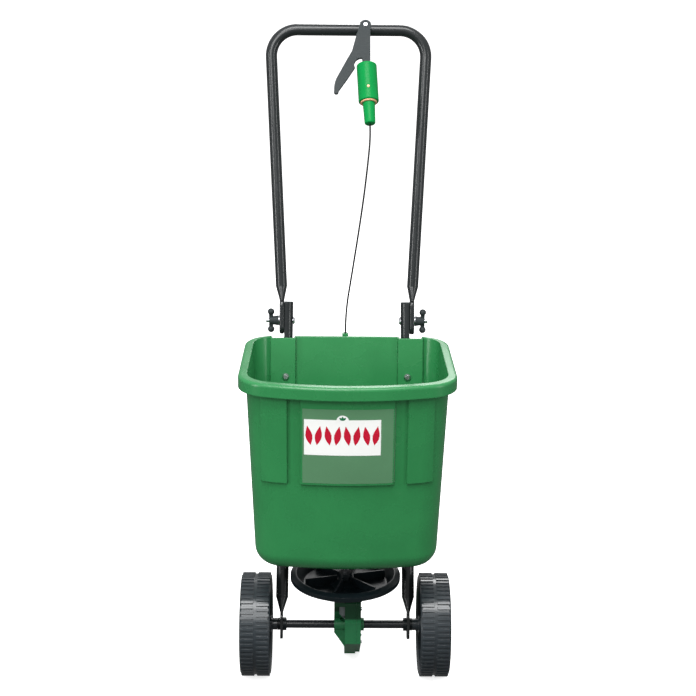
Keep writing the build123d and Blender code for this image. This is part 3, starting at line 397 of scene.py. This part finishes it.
TAB_STEPS = 12
SPRIG_LONG = 8.5 * MM
SPRIG_WIDE = 4 * MM
SPRIG_LEANS = (-0.8, 0.0, 0.8)
LABEL_LEAVES = 8
LEAF_LONG = 38 * MM
LEAF_WIDE = 12.5 * MM
LEAF_LEAN = 0.16
LEAF_RAISE = 4 * MM        # the row of leaves sits this far above the sticker's middle
LEAF_SHAPE = (0.0, 0.55, 0.9, 1.0, 0.8, 0.42, 0.0)  # its width, from the foot to the tip


def link_piece(name, build, material, body):
    """A finished build as a piece that rides on a body."""
    mesh = bpy.data.meshes.new(name)
    build.to_mesh(mesh)
    build.free()
    mesh.materials.append(material)
    piece = bpy.data.objects.new(name, mesh)
    bpy.context.collection.objects.link(piece)
    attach(piece, body)
    return piece


def lay_on_front(name, outlines, lift, thick, material):
    """Flat outlines in x and z laid on the hopper's bowed front as thin closed pieces."""
    hopper = frame["nodes"]["hopper"]
    skin = BVHTree.FromObject(hopper, bpy.context.evaluated_depsgraph_get())
    build = bmesh.new()
    for outline in outlines:
        build.faces.new([build.verts.new((x, 0.0, z)) for x, z in outline])
    bmesh.ops.triangulate(build, faces=build.faces[:])
    for _ in range(MAX_SPLITS):
        long_edges = [edge for edge in build.edges if edge.calc_length() > SKIN_STEP]
        if not long_edges:
            break
        bmesh.ops.subdivide_edges(build, edges=long_edges, cuts=1)
        bmesh.ops.triangulate(build, faces=build.faces[:])
    bmesh.ops.recalc_face_normals(build, faces=build.faces[:])
    for face in build.faces:
        if face.normal.y > 0:
            face.normal_flip()
    ahead = cad_box[0][1] - RAY_LEAD
    for vertex in build.verts:
        hit = skin.ray_cast(Vector((vertex.co.x, ahead, vertex.co.z)), Vector((0, 1, 0)))[0]
        vertex.co.y = hit.y - lift - thick
    top = build.faces[:]
    extruded = bmesh.ops.extrude_face_region(build, geom=top)["geom"]
    bottom = [item for item in extruded if isinstance(item, bmesh.types.BMVert)]
    bmesh.ops.translate(build, verts=bottom, vec=(0, thick, 0))
    bmesh.ops.recalc_face_normals(build, faces=build.faces[:])
    return link_piece(name, build, material, "root")


def rectangle(x_low, x_high, z_low, z_high):
    """The corners of an upright rectangle."""
    return [(x_low, z_low), (x_high, z_low), (x_high, z_high), (x_low, z_high)]


def leaf(x, z, length, width, lean):
    """A pointed leaf growing from a point, leaning by an angle from upright."""
    last = len(LEAF_SHAPE) - 1
    right = [(width / 2 * share, length * step / last) for step, share in enumerate(LEAF_SHAPE)]
    left = [(-across, reach) for across, reach in reversed(right[1:-1])]
    turn = Matrix.Rotation(-lean, 2)
    return [(x + point.x, z + point.y) for point in (turn @ Vector(p) for p in right + left)]


def arch(x, z, half, high):
    """A half-round tab standing on a point."""
    angles = [math.pi * step / TAB_STEPS for step in range(TAB_STEPS + 1)]
    return [(x + half * math.cos(angle), z + high * math.sin(angle)) for angle in angles]


def add_label(materials):
    """The white sticker with a row of leaves, its tab with a sprig, and the backing panel."""
    left, right = LABEL_LOW[0], LABEL_HIGH[0]
    low, high = LABEL_LOW[2], LABEL_HIGH[2]
    film = rectangle(left - FILM_LEFT, right + FILM_RIGHT, low - FILM_BELOW, high + FILM_ABOVE)
    lay_on_front("label_backing", [film], FILM_LIFT, FILM_THICK,
                 materials["label_film"])
    sticker = lay_on_front("label_sticker", [rectangle(left, right, low, high)],
                           STICKER_LIFT, STICKER_THICK, materials["label_white"])
    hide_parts("front_label")
    tab_foot = high - TAB_LAP
    lay_on_front("label_tab", [arch(LABEL_MID_X, tab_foot, TAB_HALF, TAB_HIGH)],
                 STICKER_LIFT, STICKER_THICK, materials["label_white"])
    sprig = [leaf(LABEL_MID_X, tab_foot, SPRIG_LONG, SPRIG_WIDE, lean) for lean in SPRIG_LEANS]
    lay_on_front("label_green_print", sprig, PRINT_LIFT, PRINT_THICK,
                 materials["label_green"])
    row = []
    foot_z = (low + high) / 2 - LEAF_LONG / 2 + LEAF_RAISE
    for place in range(LABEL_LEAVES):
        middle_x = left + (right - left) / LABEL_LEAVES * (place + 0.5)
        lean = LEAF_LEAN if place % 2 else -LEAF_LEAN
        foot_x = middle_x - math.sin(lean) * LEAF_LONG / 2
        row.append(leaf(foot_x, foot_z, LEAF_LONG, LEAF_WIDE, lean))
    lay_on_front("label_red_print", row, PRINT_LIFT, PRINT_THICK,
                 materials["label_red"])


# ---------------------------------------------------------------- control cable
CABLE_R = 1.7 * MM
NOZZLE_HOLD = 79.5 * MM    # from the adjuster's joint down its axis to the sleeve's upper end
NOZZLE_BELOW = 113.5 * MM  # and to the first point outside the nozzle
# the points below that, in millimetres: x, distance behind the axle, and height
CABLE_POINTS = (
    (36.5, 137, 985), (29.5, 134, 920), (19.5, 137, 845), (8, 143, 765), (-1.5, 150, 700),
    (-3, 153.5, 640), (-1, 159.5, 570), (0, 163.5, 495), (0, 162.5, 420), (0, 155.5, 345),
    (0, 141.5, 285), (0, 136, 235.2), (0, 104.2, 235.2),
)


def cable_route():
    """The sleeve's route from the adjuster down behind the hopper to the outlet."""
    turn = joint_at["adjuster_turn"]
    start, along = Vector(turn["pos_m"]), Vector(turn["axis"])
    points = [start + along * NOZZLE_HOLD, start + along * NOZZLE_BELOW]
    return points + [Vector((x * MM, AXLE_Y + y * MM, z * MM)) for x, y, z in CABLE_POINTS]


def add_cable(materials):
    """The black cable sleeve on its curved route between the frame and the folding handle."""
    curve = bpy.data.curves.new("cable_line", "CURVE")
    curve.dimensions = "3D"
    curve.bevel_depth = CABLE_R
    curve.bevel_resolution = 4
    curve.use_fill_caps = True
    curve.resolution_u = 10
    line = curve.splines.new("NURBS")
    route = cable_route()
    line.points.add(len(route) - 1)
    for point, spot in zip(line.points, route):
        point.co = (*spot, 1.0)
    line.order_u = 3
    line.use_endpoint_u = True
    holder = bpy.data.objects.new("cable_line", curve)
    bpy.context.collection.objects.link(holder)
    bpy.context.view_layer.update()
    solid = holder.evaluated_get(bpy.context.evaluated_depsgraph_get())
    mesh = bpy.data.meshes.new_from_object(solid)
    bpy.data.objects.remove(holder)
    mesh.name = "cable_sleeve"
    mesh.materials.clear()
    mesh.materials.append(materials["cable_black"])
    for polygon in mesh.polygons:
        polygon.use_smooth = True
    sleeve = bpy.data.objects.new("cable_sleeve", mesh)
    bpy.context.collection.objects.link(sleeve)
    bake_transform(sleeve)
    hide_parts("control_cable")


# ---------------------------------------------------------------- adjuster's collar
BARREL_END = 46 * MM       # along the barrel from the adjuster's joint to its lower end
COLLAR_LOW = BARREL_END - 0.8 * MM
COLLAR_HIGH = BARREL_END + 2.4 * MM
COLLAR_BORE = 12.2 * MM
COLLAR_R = 15.6 * MM
COLLAR_EDGE = 0.6 * MM
LATHE_STEPS = 48


def lathe(name, profile, origin, axis, material, body):
    """A ring turned from a closed profile of (distance along the axis, radius) points."""
    turn = Vector(axis).to_track_quat("Z", "X").to_matrix()
    build = bmesh.new()
    rows = []
    for step in range(LATHE_STEPS):
        angle = 2 * math.pi * step / LATHE_STEPS
        rows.append([
            build.verts.new(Vector(origin) + turn @ Vector(
                (radius * math.cos(angle), radius * math.sin(angle), along)))
            for along, radius in profile
        ])
    for row, following in zip(rows, rows[1:] + rows[:1]):
        for index in range(len(profile)):
            after = (index + 1) % len(profile)
            build.faces.new((row[index], row[after], following[after], following[index]))
    bmesh.ops.recalc_face_normals(build, faces=build.faces[:])
    link_piece(name, build, material, body)


def collar_profile(low, high, bore, radius):
    """A washer's half section with chamfered outer edges."""
    return [(low, bore), (low, radius - COLLAR_EDGE), (low + COLLAR_EDGE, radius),
            (high - COLLAR_EDGE, radius), (high, radius - COLLAR_EDGE), (high, bore)]


def add_collar(materials):
    """The tan washer between the adjuster's barrel and nozzle."""
    turn = joint_at["adjuster_turn"]
    profile = collar_profile(COLLAR_LOW, COLLAR_HIGH, COLLAR_BORE, COLLAR_R)
    lathe("adjuster_collar", profile, turn["pos_m"], turn["axis"],
          materials["adjuster_tan"], "dial")


# ---------------------------------------------------------------- the whole scene
add_camera()
add_world()
add_lights()
add_floor()
finishes = make_materials()
dress_frame(finishes)
add_label(finishes)
add_cable(finishes)
add_collar(finishes)
